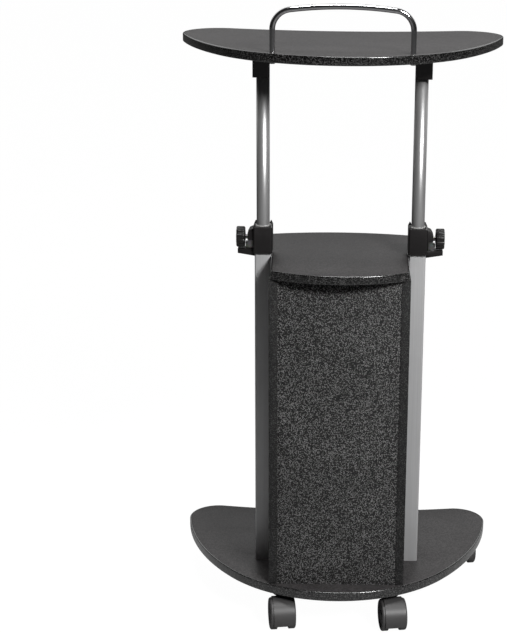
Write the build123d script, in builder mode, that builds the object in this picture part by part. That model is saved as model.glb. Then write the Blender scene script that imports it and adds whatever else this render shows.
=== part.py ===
from build123d import *
import os
from math import cos, radians, sin

# Rolling height-adjustable presentation lectern. Millimetres, +Z up, the audience on the -Y side.
# The origin is on the floor, under the middle of the base board.

# ---- driving dimensions: boards ----------------------------------------------------------------
CASTER_HEIGHT = 74.0  # floor to the underside of the base board
BASE_THICK = 18.0
BOARD_THICK = 16.0  # every other board
BAND = 3.0  # edge band laid round a board
BAND_ROUND = 2.4
EDGE_BREAK = 0.6

BASE_TOP = CASTER_HEIGHT + BASE_THICK
MID_SHELF_TOP = 699.5
TOP_SURFACE = 1080.0
TOP_UNDER = TOP_SURFACE - BOARD_THICK
MID_SHELF_UNDER = MID_SHELF_TOP - BOARD_THICK

# Crescent outlines: nose radius to an angle, flank radius to an angle, round tip to an angle.
# The angles are the heading of the outline, measured from +X at the front centre.
BASE_NOSE_R, BASE_NOSE_DEG = 260.0, 49.7
BASE_FLANK_R, BASE_FLANK_DEG = 436.0, 84.3
BASE_TIP_R, BASE_TIP_DEG = 57.0, 189.0
TOP_NOSE_R, TOP_NOSE_DEG = 267.0, 54.8
TOP_FLANK_R, TOP_FLANK_DEG = 494.0, 76.1
TOP_TIP_R, TOP_TIP_DEG = 68.0, 194.2
BASE_FRONT_Y = -196.5
TOP_FRONT_Y = -189.5

# ---- driving dimensions: posts, tubes and clamps -----------------------------------------------
POST_X, POST_Y = 140.8, -42.5
POST_SIZE, POST_WALL = 30.0, 1.5
POST_TOP = 745.0
TUBE_R, TUBE_WALL = 12.0, 1.2
TUBE_BOTTOM, TUBE_TOP = 500.0, 1057.5
RUNNING_FIT = 0.06
COLLAR_X, COLLAR_Y = 35.0, 40.0
COLLAR_BOTTOM, COLLAR_TOP = 703.5, 752.5
CLAMP_Z = 730.0
STUD_R = 3.97
KNOB_R = 19.2
KNOB_START, KNOB_END = 33.0, 48.5  # distances from the tube's axis
BRACKET_X, BRACKET_Y = 28.0, 40.0
BRACKET_CENTRE_X = POST_X + 3.8
BRACKET_BOTTOM = 1023.5

# ---- driving dimensions: cabinet, between the posts --------------------------------------------
CABINET_HALF = POST_X - POST_SIZE / 2
CABINET_FRONT_Y, CABINET_BACK_Y = -162.0, 96.0
PANEL_SETBACK = 1.0
SHELF_FRONT_Y, SHELF_BACK_Y = -196.5, 118.5
SHELF_FRONT_CORNER = (122.6, -164.5)
SHELF_BACK_CORNER = (134.5, 101.0)  # behind the posts the shelf is wider
SHELF_NOTCH_X, SHELF_NOTCH_Y = CABINET_HALF - 0.3, -26.4
SHELF_WAIST_Y = -60.0
SHELF_CORNER_R, SHELF_BACK_R, SHELF_NOTCH_R = 5.0, 8.0, 4.0
INNER_SHELF_TOP = 404.0
INNER_SHELF_GAP = 0.5
RAIL_HEIGHT = 60.0

# ---- driving dimensions: loop bar and casters --------------------------------------------------
LOOP_R = 5.0
LOOP_X, LOOP_Y = 120.0, -148.0
LOOP_LEG_TOP = 1119.0
LOOP_CORNER_R, LOOP_CORNER_DEG = 34.0, 82.6
WHEEL_R = 30.0
TRAIL = 20.0
CASTERS = {
    "front_left": (-104.0, -138.5),
    "front_right": (104.0, -138.5),
    "rear_left": (-254.0, 154.5),
    "rear_right": (254.0, 154.5),
}
CASTER_YAW = {"front_left": 9.0, "front_right": 9.0, "rear_left": 90.0, "rear_right": 9.0}  # at rest

SIDES = {"left": -1, "right": 1}
os.makedirs("parts", exist_ok=True)


def save(part, label):
    """Labels a finished sub-part and writes it to its own STEP file."""
    part.label = label
    export_step(part, f"parts/{label}.step")


def crescent(front_y, nose, flank, tip, inset=0.0):
    """Closed crescent outline, inset all round by a distance. nose, flank and tip are (radius, heading)."""
    with BuildSketch() as outline:
        with BuildLine():
            a = JernArc(start=(0, front_y), tangent=(1, 0), radius=nose[0], arc_size=nose[1])
            b = JernArc(start=a @ 1, tangent=a % 1, radius=flank[0], arc_size=flank[1] - nose[1])
            c = JernArc(start=b @ 1, tangent=b % 1, radius=tip[0], arc_size=tip[1] - flank[1])
            dip = tip[1] - 180
            back_r = (c @ 1).X / sin(radians(dip))
            JernArc(start=c @ 1, tangent=c % 1, radius=back_r, arc_size=-dip)
            mirror(about=Plane.YZ)
        make_face()
        if inset:
            offset(amount=-inset, mode=Mode.REPLACE)
    return outline.sketch


def shelf_outline(inset=0.0):
    """Outline of the mid shelf: convex front and back edges, and a step out behind each post."""
    front_x, front_y = SHELF_FRONT_CORNER
    back_x, back_y = SHELF_BACK_CORNER
    with BuildSketch() as outline:
        with BuildLine():
            ThreePointArc((-front_x, front_y), (0, SHELF_FRONT_Y), (front_x, front_y))
            ThreePointArc((-back_x, back_y), (0, SHELF_BACK_Y), (back_x, back_y))
            for side in (-1, 1):
                Polyline(
                    (side * front_x, front_y), (side * SHELF_NOTCH_X, SHELF_WAIST_Y),
                    (side * SHELF_NOTCH_X, SHELF_NOTCH_Y), (side * back_x, SHELF_NOTCH_Y),
                    (side * back_x, back_y),
                )
        make_face()
        fillet(outline.vertices().group_by(Axis.Y)[-1], radius=SHELF_BACK_R)
        fillet(outline.vertices().group_by(Axis.Y)[2], radius=SHELF_NOTCH_R)
        fillet(outline.vertices().group_by(Axis.Y)[0], radius=SHELF_CORNER_R)
        if inset:
            offset(amount=-inset, mode=Mode.REPLACE)
    return outline.sketch


def edge_band(outline, inner, bottom, thick):
    """Strip round a board, between two outlines, with its two outer edges rounded over."""
    with BuildPart() as band:
        with BuildSketch(Plane.XY.offset(bottom)):
            add(outline)
            add(inner, mode=Mode.SUBTRACT)
        extrude(amount=thick)
        rim = band.faces().filter_by(Axis.Z).sort_by(Axis.Z)
        fillet([rim[0].outer_wire().edges(), rim[-1].outer_wire().edges()], radius=BAND_ROUND)
    return band.part


def screw(head_plane, head_r, head_len, shank_r, shank_len):
    """Pan head with a cross recess, its shank running along the plane's normal."""
    with BuildPart(mode=Mode.PRIVATE) as fastener:
        with BuildSketch(head_plane):
            Circle(shank_r)
        extrude(amount=shank_len)
        with BuildSketch(head_plane):
            Circle(head_r)
        extrude(amount=-head_len)
        fillet(fastener.edges().filter_by(GeomType.CIRCLE).group_by(SortBy.RADIUS)[-1], radius=head_len * 0.3)
        with BuildSketch(head_plane.offset(-head_len)):
            Rectangle(head_r, head_r * 0.22)
            Rectangle(head_r * 0.22, head_r)
        extrude(amount=head_len * 0.5, mode=Mode.SUBTRACT)
    return fastener.part


# ---- boards ------------------------------------------------------------------------------------
BASE_ARCS = ((BASE_NOSE_R, BASE_NOSE_DEG), (BASE_FLANK_R, BASE_FLANK_DEG), (BASE_TIP_R, BASE_TIP_DEG))
TOP_ARCS = ((TOP_NOSE_R, TOP_NOSE_DEG), (TOP_FLANK_R, TOP_FLANK_DEG), (TOP_TIP_R, TOP_TIP_DEG))
base_core = crescent(BASE_FRONT_Y, *BASE_ARCS, inset=BAND)
top_core = crescent(TOP_FRONT_Y, *TOP_ARCS, inset=BAND)

PANEL_X = CABINET_HALF - BOARD_THICK / 2
SCREW_R, SCREW_HOLE_R = 2.4, 2.5
PANEL_SCREWS = [(side * PANEL_X, y) for side in (-1, 1) for y in (-135, -35, 75)]
PANEL_SCREWS += [(x, CABINET_FRONT_Y + PANEL_SETBACK + BOARD_THICK / 2) for x in (-60, 60)]
PANEL_SCREW_LEN, PANEL_SCREW_HEAD_R, PANEL_SCREW_HEAD = 44.0, 4.5, 3.0
BOLT_R, BOLT_HEAD_R, BOLT_HEAD, BOLT_LEN = 4.0, 7.0, 5.0, 34.0
BOLT_SEAT = CASTER_HEIGHT + 6.0
PLATE, PLATE_THICK, PLATE_HOLE = 38.0, 2.5, 13.5
PLATE_SCREW_R, PLATE_SCREW_LEN = 1.9, 14.0
PLATE_SCREW_HEAD_R, PLATE_SCREW_HEAD = 3.5, 2.0
HOLE_GAP = 0.1


def caster_plane(name):
    """Floor-level plane under a caster's king pin, its -Y pointing the way the caster trails."""
    yaw = radians(CASTER_YAW[name])
    return Plane(origin=(*CASTERS[name], 0), x_dir=(cos(yaw), sin(yaw), 0), z_dir=(0, 0, 1))


with BuildPart() as base_board:
    with BuildSketch(Plane.XY.offset(CASTER_HEIGHT)):
        add(base_core)
    extrude(amount=BASE_THICK)
    with BuildSketch(Plane.XY.offset(CASTER_HEIGHT)):
        with Locations(*PANEL_SCREWS):
            Circle(SCREW_HOLE_R)
        with Locations((-POST_X, POST_Y), (POST_X, POST_Y)):
            Circle(BOLT_R + HOLE_GAP)
    extrude(amount=BASE_THICK, mode=Mode.SUBTRACT)
    with BuildSketch(Plane.XY.offset(CASTER_HEIGHT)):
        with Locations((-POST_X, POST_Y), (POST_X, POST_Y)):
            Circle(BOLT_HEAD_R + 1)
    extrude(amount=BOLT_SEAT - CASTER_HEIGHT, mode=Mode.SUBTRACT)
    with BuildSketch(Plane.XY.offset(CASTER_HEIGHT)):
        with Locations(*PANEL_SCREWS):
            Circle(PANEL_SCREW_HEAD_R + 0.5)
    extrude(amount=PANEL_SCREW_HEAD, mode=Mode.SUBTRACT)
    with BuildSketch(Plane.XY.offset(CASTER_HEIGHT)):
        with Locations(*CASTERS.values()):
            with GridLocations(2 * PLATE_HOLE, 2 * PLATE_HOLE, 2, 2):
                Circle(PLATE_SCREW_R + HOLE_GAP)
    extrude(amount=PLATE_SCREW_LEN - PLATE_THICK + 1, mode=Mode.SUBTRACT)
save(base_board.part, "base_board")
save(edge_band(crescent(BASE_FRONT_Y, *BASE_ARCS), base_core, CASTER_HEIGHT, BASE_THICK), "base_edge_band")

# Loop bar sockets and bracket screw holes in the top board.
LEG_BOTTOM = TOP_UNDER + 2.0
LOOP_SCREW_R = 2.4
BRACKET_SCREW_R, BRACKET_SCREW_LEN = 1.9, 14.0
FLANGE_Y, FLANGE_THICK = 66.0, 4.0
FLANGE_HOLES = [
    (side * BRACKET_CENTRE_X + dx, POST_Y + dy) for side in (-1, 1) for dx in (-8, 8) for dy in (-26, 26)
]
with BuildPart() as top_board:
    with BuildSketch(Plane.XY.offset(TOP_UNDER)):
        add(top_core)
    extrude(amount=BOARD_THICK)
    with BuildSketch(Plane.XY.offset(LEG_BOTTOM)):
        with Locations((-LOOP_X, LOOP_Y), (LOOP_X, LOOP_Y)):
            Circle(LOOP_R + HOLE_GAP)
    extrude(amount=BOARD_THICK, mode=Mode.SUBTRACT)
    with BuildSketch(Plane.XY.offset(TOP_UNDER)):
        with Locations((-LOOP_X, LOOP_Y), (LOOP_X, LOOP_Y)):
            Circle(LOOP_SCREW_R + HOLE_GAP)
        with Locations(*FLANGE_HOLES):
            Circle(BRACKET_SCREW_R + HOLE_GAP)
    extrude(amount=BRACKET_SCREW_LEN - FLANGE_THICK + 1, mode=Mode.SUBTRACT)
save(top_board.part, "top_board")
save(edge_band(crescent(TOP_FRONT_Y, *TOP_ARCS), top_core, TOP_UNDER, BOARD_THICK), "top_edge_band")

DOWEL_R, DOWEL_X, DOWEL_HALF = 3.0, 114.0, 11.0
DOWELS = [(side * DOWEL_X, y) for side in (-1, 1) for y in (-130, 60)]
with BuildPart() as mid_shelf:
    with BuildSketch(Plane.XY.offset(MID_SHELF_UNDER)):
        add(shelf_outline(BAND))
    extrude(amount=BOARD_THICK)
    with BuildSketch(Plane.XY.offset(MID_SHELF_UNDER)):
        with Locations(*DOWELS):
            Circle(DOWEL_R + HOLE_GAP)
    extrude(amount=DOWEL_HALF + 1, mode=Mode.SUBTRACT)
save(mid_shelf.part, "mid_shelf")
save(edge_band(shelf_outline(), shelf_outline(BAND), MID_SHELF_UNDER, BOARD_THICK), "mid_shelf_edge_band")

# ---- cabinet -----------------------------------------------------------------------------------
CABINET_DEPTH = CABINET_BACK_Y - CABINET_FRONT_Y
CABINET_MID_Y = (CABINET_BACK_Y + CABINET_FRONT_Y) / 2
INNER_HALF = CABINET_HALF - BOARD_THICK
POST_SCREW_Z = (170, 330, 620)
POST_SCREW_R, POST_SCREW_HEAD = 2.0, 2.4
PIN_R, PIN_LEN, PIN_Y = 2.5, 16.0, (-115, 60)
INNER_SHELF_UNDER = INNER_SHELF_TOP - BOARD_THICK
PIN_Z = INNER_SHELF_UNDER - PIN_R
for side_name, side in SIDES.items():
    inner_face = Plane(origin=(side * INNER_HALF, 0, 0), x_dir=(0, 1, 0), z_dir=(side, 0, 0))
    post_marks = [inner_face.to_local_coords(Vector(side * INNER_HALF, POST_Y, z)) for z in POST_SCREW_Z]
    pin_marks = [inner_face.to_local_coords(Vector(side * INNER_HALF, y, PIN_Z)) for y in PIN_Y]
    with BuildPart() as side_panel:
        with BuildSketch(Plane.XY.offset(BASE_TOP)):
            with Locations((side * PANEL_X, CABINET_MID_Y)):
                Rectangle(BOARD_THICK, CABINET_DEPTH)
        extrude(amount=MID_SHELF_UNDER - BASE_TOP)
        chamfer(side_panel.edges().filter_by(Axis.Z), length=EDGE_BREAK)
        with BuildSketch(Plane.XY.offset(BASE_TOP)):
            with Locations(*[p for p in PANEL_SCREWS if abs(p[0] - side * PANEL_X) < 1]):
                Circle(SCREW_HOLE_R)
        extrude(amount=PANEL_SCREW_LEN - BASE_THICK + 4, mode=Mode.SUBTRACT)
        with BuildSketch(Plane.XY.offset(MID_SHELF_UNDER)):
            with Locations(*[p for p in DOWELS if p[0] * side > 0]):
                Circle(DOWEL_R + HOLE_GAP)
        extrude(amount=-DOWEL_HALF - 1, mode=Mode.SUBTRACT)
        with BuildSketch(inner_face):
            with Locations(*[(m.X, m.Y) for m in post_marks]):
                Circle(POST_SCREW_R + HOLE_GAP)
        extrude(amount=BOARD_THICK, mode=Mode.SUBTRACT)
        with BuildSketch(inner_face):
            with Locations(*[(m.X, m.Y) for m in pin_marks]):
                Circle(PIN_R + HOLE_GAP)
        extrude(amount=PIN_LEN / 2 + 0.5, mode=Mode.SUBTRACT)
    save(side_panel.part, f"side_panel_{side_name}")

with BuildPart() as front_panel:
    with BuildSketch(Plane.XY.offset(BASE_TOP)):
        with Locations((0, CABINET_FRONT_Y + PANEL_SETBACK + BOARD_THICK / 2)):
            Rectangle(2 * INNER_HALF, BOARD_THICK)
    extrude(amount=MID_SHELF_UNDER - BASE_TOP)
    chamfer(front_panel.edges().filter_by(Axis.Z), length=EDGE_BREAK)
    with BuildSketch(Plane.XY.offset(BASE_TOP)):
        with Locations(*[p for p in PANEL_SCREWS if abs(p[0]) < INNER_HALF]):
            Circle(SCREW_HOLE_R)
    extrude(amount=PANEL_SCREW_LEN - BASE_THICK + 4, mode=Mode.SUBTRACT)
save(front_panel.part, "front_panel")

with BuildPart() as back_rail:
    with BuildSketch(Plane.XY.offset(MID_SHELF_UNDER)):
        with Locations((0, CABINET_BACK_Y - PANEL_SETBACK - BOARD_THICK / 2)):
            Rectangle(2 * INNER_HALF, BOARD_THICK)
    extrude(amount=-RAIL_HEIGHT)
    chamfer(back_rail.edges().group_by(Axis.Z)[0], length=EDGE_BREAK)
save(back_rail.part, "back_rail")

INNER_SHELF_FRONT = CABINET_FRONT_Y + PANEL_SETBACK + BOARD_THICK + INNER_SHELF_GAP
INNER_SHELF_BACK = CABINET_BACK_Y - 12.0
with BuildPart() as inner_shelf:
    with BuildSketch(Plane.XY.offset(INNER_SHELF_UNDER)):
        with Locations((0, (INNER_SHELF_FRONT + INNER_SHELF_BACK) / 2)):
            Rectangle(2 * (INNER_HALF - INNER_SHELF_GAP), INNER_SHELF_BACK - INNER_SHELF_FRONT)
    extrude(amount=BOARD_THICK)
    chamfer(inner_shelf.edges(), length=EDGE_BREAK)
save(inner_shelf.part, "inner_shelf")

with BuildPart() as shelf_pins:
    for side in SIDES.values():
        for y in PIN_Y:
            pin_plane = Plane(origin=(side * (INNER_HALF + PIN_LEN / 2), y, PIN_Z), z_dir=(-side, 0, 0))
            with BuildSketch(pin_plane):
                Circle(PIN_R)
            extrude(amount=PIN_LEN)
save(shelf_pins.part, "shelf_pins")

with BuildPart() as shelf_dowels:
    with BuildSketch(Plane.XY.offset(MID_SHELF_UNDER)):
        with Locations(*DOWELS):
            Circle(DOWEL_R)
    extrude(amount=DOWEL_HALF, both=True)
save(shelf_dowels.part, "shelf_dowels")

with BuildPart() as panel_screws:
    for x, y in PANEL_SCREWS:
        seat = Plane(origin=(x, y, CASTER_HEIGHT + PANEL_SCREW_HEAD))
        add(screw(seat, PANEL_SCREW_HEAD_R, PANEL_SCREW_HEAD - 0.5, SCREW_R, PANEL_SCREW_LEN))
save(panel_screws.part, "panel_screws")

# ---- posts -------------------------------------------------------------------------------------
FOOT_HEIGHT, FOOT_GAP = 30.0, 0.1
POST_INNER = POST_SIZE - 2 * POST_WALL
POST_CORNER_R, POST_INNER_R, INSERT_R = 3.0, 1.5, 1.4  # corners of the post, its bore and what fits in it
POST_SCREW_LEN = BOARD_THICK + POST_WALL - HOLE_GAP
PAD_HOLE_R = 4.2


def outward_plane(side, distance, z):
    """Plane that faces away from the cabinet, at a distance out from a post's axis."""
    return Plane(origin=(side * (POST_X + distance), POST_Y, z), x_dir=(0, 1, 0), z_dir=(side, 0, 0))


for side_name, side in SIDES.items():
    axis_out = outward_plane(side, 0, CLAMP_Z)
    with BuildPart() as post:
        with BuildSketch(Plane.XY.offset(BASE_TOP)):
            with Locations((side * POST_X, POST_Y)):
                RectangleRounded(POST_SIZE, POST_SIZE, POST_CORNER_R)
                RectangleRounded(POST_INNER, POST_INNER, POST_INNER_R, mode=Mode.SUBTRACT)
        extrude(amount=POST_TOP - BASE_TOP)
        with BuildSketch(axis_out):
            Circle(PAD_HOLE_R)
        extrude(amount=POST_SIZE, mode=Mode.SUBTRACT)
        for z in POST_SCREW_Z:
            with BuildSketch(Plane(origin=(side * POST_X, POST_Y, z), z_dir=(-side, 0, 0))):
                Circle(POST_SCREW_R + HOLE_GAP)
            extrude(amount=POST_SIZE, mode=Mode.SUBTRACT)
    save(post.part, f"post_{side_name}")

with BuildPart() as post_feet:
    with BuildSketch(Plane.XY.offset(BASE_TOP)):
        with Locations((-POST_X, POST_Y), (POST_X, POST_Y)):
            RectangleRounded(POST_INNER - 2 * FOOT_GAP, POST_INNER - 2 * FOOT_GAP, INSERT_R)
            Circle(BOLT_R + HOLE_GAP, mode=Mode.SUBTRACT)
    extrude(amount=FOOT_HEIGHT)
save(post_feet.part, "post_feet")

with BuildPart() as post_bolts:
    for side in SIDES.values():
        with BuildSketch(Plane(origin=(side * POST_X, POST_Y, BOLT_SEAT))):
            Circle(BOLT_R)
        extrude(amount=BOLT_LEN)
        with BuildSketch(Plane(origin=(side * POST_X, POST_Y, BOLT_SEAT))):
            RegularPolygon(BOLT_HEAD_R, 6)
        extrude(amount=-BOLT_HEAD)
save(post_bolts.part, "post_bolts")

with BuildPart() as post_screws:
    for side in SIDES.values():
        for z in POST_SCREW_Z:
            seat = Plane(origin=(side * INNER_HALF, POST_Y, z), z_dir=(side, 0, 0))
            add(screw(seat, 2 * POST_SCREW_R, POST_SCREW_HEAD, POST_SCREW_R, POST_SCREW_LEN))
save(post_screws.part, "post_screws")

# ---- collars, bushes, clamps and knobs ---------------------------------------------------------
BUSH_BOTTOM = 690.0
EAR_END, EAR_Y, EAR_BOTTOM, EAR_TOP = 28.0, 26.0, 727.0, 748.0
REST_END, REST_Y, REST_TOP = 46.0, 22.0, 709.6
REST_DROP_IN, REST_DROP_OUT = 13.0, 8.0
NUT_START, NUT_END, NUT_Y, NUT_TOP = 18.5, 27.5, 16.0, 738.0
LIP_END, LIP_TOP = 31.8, 721.0
NUT_MID_Z = (REST_TOP + NUT_TOP) / 2
NECK_R, NECK_TOP = 14.9, 753.4
HORN_R, HORN_HEIGHT, HORN_TAPER = 4.6, 6.5, 22.0  # the four pointed lugs round the tube
HORN_INSET, HORN_SUNK = 3.6, 1.5
COLLAR_CORNER_R, COLLAR_FIT = 3.5, 0.2
PAD_START, PAD_END = TUBE_R + 0.15, 16.9
PAD_R = 3.9
KNOB_HUB_START, KNOB_HUB_R, KNOB_BORE_END = 32.2, 8.5, 41.0
KNOB_LOBES, KNOB_FLUTE_R = 10, 4.2
for side_name, side in SIDES.items():
    centre = (side * POST_X, POST_Y)
    front_view = Plane(origin=(side * POST_X, POST_Y, 0), x_dir=(side, 0, 0), z_dir=(0, -side, 0))
    axis_out = outward_plane(side, 0, CLAMP_Z)
    nut_recess = outward_plane(side, NUT_START - HOLE_GAP, NUT_MID_Z)

    with BuildPart() as collar:
        with BuildSketch(Plane.XY.offset(COLLAR_BOTTOM)):
            with Locations(centre):
                RectangleRounded(COLLAR_X, COLLAR_Y, COLLAR_CORNER_R)
        extrude(amount=COLLAR_TOP - COLLAR_BOTTOM)
        chamfer(collar.edges().group_by(Axis.Z)[-1], length=1.2)
        with BuildSketch(Plane.XY.offset(COLLAR_TOP - HORN_SUNK)):
            with Locations(centre):
                with GridLocations(COLLAR_X - 2 * HORN_INSET, COLLAR_Y - 2 * HORN_INSET, 2, 2):
                    RegularPolygon(HORN_R, 4, rotation=45)
        extrude(amount=HORN_HEIGHT, taper=HORN_TAPER)
        with BuildSketch(front_view):
            with BuildLine():
                Polyline(
                    (COLLAR_X / 2 - 1, EAR_BOTTOM), (EAR_END, EAR_BOTTOM), (EAR_END, EAR_TOP - 9),
                    (EAR_END - 3.5, EAR_TOP - 2.5), (EAR_END - 9, EAR_TOP), (COLLAR_X / 2 - 1, EAR_TOP),
                    close=True,
                )
            make_face()
        extrude(amount=EAR_Y / 2, both=True)
        with BuildSketch(front_view):
            with BuildLine():
                Polyline(
                    (POST_SIZE / 2 + COLLAR_FIT, REST_TOP - REST_DROP_IN),
                    (REST_END, REST_TOP - REST_DROP_OUT), (REST_END, REST_TOP),
                    (POST_SIZE / 2 + COLLAR_FIT, REST_TOP), close=True,
                )
            make_face()
        extrude(amount=REST_Y / 2, both=True)
        with BuildSketch(Plane.XY.offset(COLLAR_BOTTOM)):
            with Locations(centre):
                RectangleRounded(POST_SIZE + COLLAR_FIT, POST_SIZE + COLLAR_FIT, POST_CORNER_R + HOLE_GAP)
        extrude(amount=POST_TOP + 0.1 - COLLAR_BOTTOM, mode=Mode.SUBTRACT)
        with BuildSketch(Plane.XY.offset(COLLAR_BOTTOM)):
            with Locations(centre):
                Circle(NECK_R + HOLE_GAP)
        extrude(amount=COLLAR_TOP + HORN_HEIGHT - COLLAR_BOTTOM, mode=Mode.SUBTRACT)
        with BuildSketch(axis_out):
            Circle(PAD_HOLE_R)
        extrude(amount=EAR_END + 1, mode=Mode.SUBTRACT)
        with BuildSketch(nut_recess):
            Rectangle(NUT_Y + 2 * HOLE_GAP, NUT_TOP - REST_TOP + 2 * HOLE_GAP)
        extrude(amount=NUT_END - NUT_START + 2 * HOLE_GAP, mode=Mode.SUBTRACT)
    save(collar.part, f"collar_{side_name}")

    with BuildPart() as guide_bush:
        with BuildSketch(Plane.XY.offset(BUSH_BOTTOM)):
            with Locations(centre):
                RectangleRounded(POST_INNER - 2 * FOOT_GAP, POST_INNER - 2 * FOOT_GAP, INSERT_R)
        extrude(amount=POST_TOP - BUSH_BOTTOM)
        with BuildSketch(Plane.XY.offset(POST_TOP)):
            with Locations(centre):
                Circle(NECK_R)
        extrude(amount=NECK_TOP - POST_TOP)
        chamfer(guide_bush.edges().group_by(Axis.Z)[-1], length=1.0)
        with BuildSketch(Plane.XY.offset(BUSH_BOTTOM)):
            with Locations(centre):
                Circle(TUBE_R + RUNNING_FIT)
        extrude(amount=NECK_TOP - BUSH_BOTTOM, mode=Mode.SUBTRACT)
        with BuildSketch(axis_out):
            Circle(PAD_HOLE_R)
        extrude(amount=POST_SIZE, mode=Mode.SUBTRACT)
    save(guide_bush.part, f"guide_bush_{side_name}")

    with BuildPart() as clamp_pad:
        with BuildSketch(axis_out.offset(PAD_START)):
            Circle(PAD_R)
        extrude(amount=PAD_END - PAD_START)
    save(clamp_pad.part, f"clamp_pad_{side_name}")

    with BuildPart() as knob_stud:
        with BuildSketch(axis_out.offset(PAD_END + 0.1)):
            Circle(STUD_R)
        extrude(amount=KNOB_BORE_END - PAD_END - 0.2)
    save(knob_stud.part, f"knob_stud_{side_name}")

    with BuildPart() as knob:
        with BuildSketch(axis_out.offset(KNOB_START)):
            Circle(KNOB_R)
            with PolarLocations(KNOB_R + KNOB_FLUTE_R * 0.62, KNOB_LOBES, start_angle=18):
                Circle(KNOB_FLUTE_R, mode=Mode.SUBTRACT)
        extrude(amount=KNOB_END - KNOB_START)
        ends = knob.faces().filter_by(Axis.X).sort_by(Axis.X)
        chamfer([ends[0].outer_wire().edges(), ends[-1].outer_wire().edges()], length=1.2)
        with BuildSketch(axis_out.offset(KNOB_HUB_START)):
            Circle(KNOB_HUB_R)
        extrude(amount=KNOB_START - KNOB_HUB_START)
        with BuildSketch(axis_out.offset(KNOB_END)):
            Circle(KNOB_R * 0.55)
        extrude(amount=-1.4, mode=Mode.SUBTRACT)
        with BuildSketch(axis_out.offset(KNOB_HUB_START)):
            Circle(STUD_R + 0.03)
        extrude(amount=KNOB_BORE_END - KNOB_HUB_START, mode=Mode.SUBTRACT)
    save(knob.part, f"knob_{side_name}")

with BuildPart() as clamp_nuts:
    for side in SIDES.values():
        with BuildSketch(outward_plane(side, NUT_START, NUT_MID_Z)):
            Rectangle(NUT_Y, NUT_TOP - REST_TOP)
        extrude(amount=NUT_END - NUT_START)
        with BuildSketch(Plane(origin=(side * (POST_X + (NUT_END + LIP_END) / 2), POST_Y, REST_TOP))):
            Rectangle(LIP_END - NUT_END, NUT_Y)
        extrude(amount=LIP_TOP - REST_TOP)
        with BuildSketch(outward_plane(side, 0, CLAMP_Z)):
            Circle(STUD_R + RUNNING_FIT)
        extrude(amount=POST_SIZE, mode=Mode.SUBTRACT)
save(clamp_nuts.part, "clamp_nuts")

# ---- tubes and top brackets --------------------------------------------------------------------
GUIDE_HEIGHT, GUIDE_SPIGOT, GUIDE_SIZE = 28.0, 20.0, POST_INNER - 0.4
TUBE_SCREW_R, TUBE_SCREW_Z = 2.5, 1041.0
TUBE_SCREW_HEAD_R, TUBE_SCREW_HEAD = 4.6, 2.6
TUBE_SCREW_LEN = BRACKET_Y / 2 - TUBE_R + TUBE_WALL
BRACKET_SCREW_HEAD = 2.4
for side_name, side in SIDES.items():
    centre = (side * POST_X, POST_Y)
    screw_axis = Plane(origin=(side * POST_X, POST_Y, TUBE_SCREW_Z), z_dir=(0, 1, 0))
    with BuildPart() as tube:
        with BuildSketch(Plane.XY.offset(TUBE_BOTTOM)):
            with Locations(centre):
                Circle(TUBE_R)
                Circle(TUBE_R - TUBE_WALL, mode=Mode.SUBTRACT)
        extrude(amount=TUBE_TOP - TUBE_BOTTOM)
        with BuildSketch(screw_axis):
            Circle(TUBE_SCREW_R + 0.05)
        extrude(amount=TUBE_R + 1, mode=Mode.SUBTRACT)
    save(tube.part, f"tube_{side_name}")

    with BuildPart() as tube_guide:
        with BuildSketch(Plane.XY.offset(TUBE_BOTTOM)):
            with Locations(centre):
                RectangleRounded(GUIDE_SIZE, GUIDE_SIZE, INSERT_R)
        extrude(amount=-GUIDE_HEIGHT)
        with BuildSketch(Plane.XY.offset(TUBE_BOTTOM)):
            with Locations(centre):
                Circle(TUBE_R - TUBE_WALL - 0.05)
        extrude(amount=GUIDE_SPIGOT)
    save(tube_guide.part, f"tube_guide_{side_name}")

    with BuildPart() as top_bracket:
        with BuildSketch(Plane.XY.offset(BRACKET_BOTTOM)):
            with Locations((side * BRACKET_CENTRE_X, POST_Y)):
                RectangleRounded(BRACKET_X, BRACKET_Y, 1.5)
        extrude(amount=TOP_UNDER - BRACKET_BOTTOM)
        with BuildSketch(Plane.XY.offset(TOP_UNDER)):
            with Locations((side * BRACKET_CENTRE_X, POST_Y)):
                RectangleRounded(BRACKET_X, FLANGE_Y, 4)
        extrude(amount=-FLANGE_THICK)
        with BuildSketch(Plane.XY.offset(BRACKET_BOTTOM)):
            with Locations(centre):
                Circle(TUBE_R + 0.05)
        extrude(amount=TUBE_TOP + 0.1 - BRACKET_BOTTOM, mode=Mode.SUBTRACT)
        with BuildSketch(Plane.XY.offset(TOP_UNDER)):
            with Locations(*[p for p in FLANGE_HOLES if p[0] * side > 0]):
                Circle(BRACKET_SCREW_R + HOLE_GAP)
        extrude(amount=-FLANGE_THICK, mode=Mode.SUBTRACT)
        with BuildSketch(screw_axis):
            Circle(TUBE_SCREW_R + 0.05)
        extrude(amount=BRACKET_Y, mode=Mode.SUBTRACT)
    save(top_bracket.part, f"top_bracket_{side_name}")

with BuildPart() as bracket_screws:
    for x, y in FLANGE_HOLES:
        seat = Plane(origin=(x, y, TOP_UNDER - FLANGE_THICK))
        add(screw(seat, 2 * BRACKET_SCREW_R, BRACKET_SCREW_HEAD, BRACKET_SCREW_R, BRACKET_SCREW_LEN))
save(bracket_screws.part, "bracket_screws")

with BuildPart() as tube_screws:
    for side in SIDES.values():
        seat = Plane(origin=(side * POST_X, POST_Y + BRACKET_Y / 2, TUBE_SCREW_Z), z_dir=(0, -1, 0))
        add(screw(seat, TUBE_SCREW_HEAD_R, TUBE_SCREW_HEAD, TUBE_SCREW_R, TUBE_SCREW_LEN))
save(tube_screws.part, "tube_screws")

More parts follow.
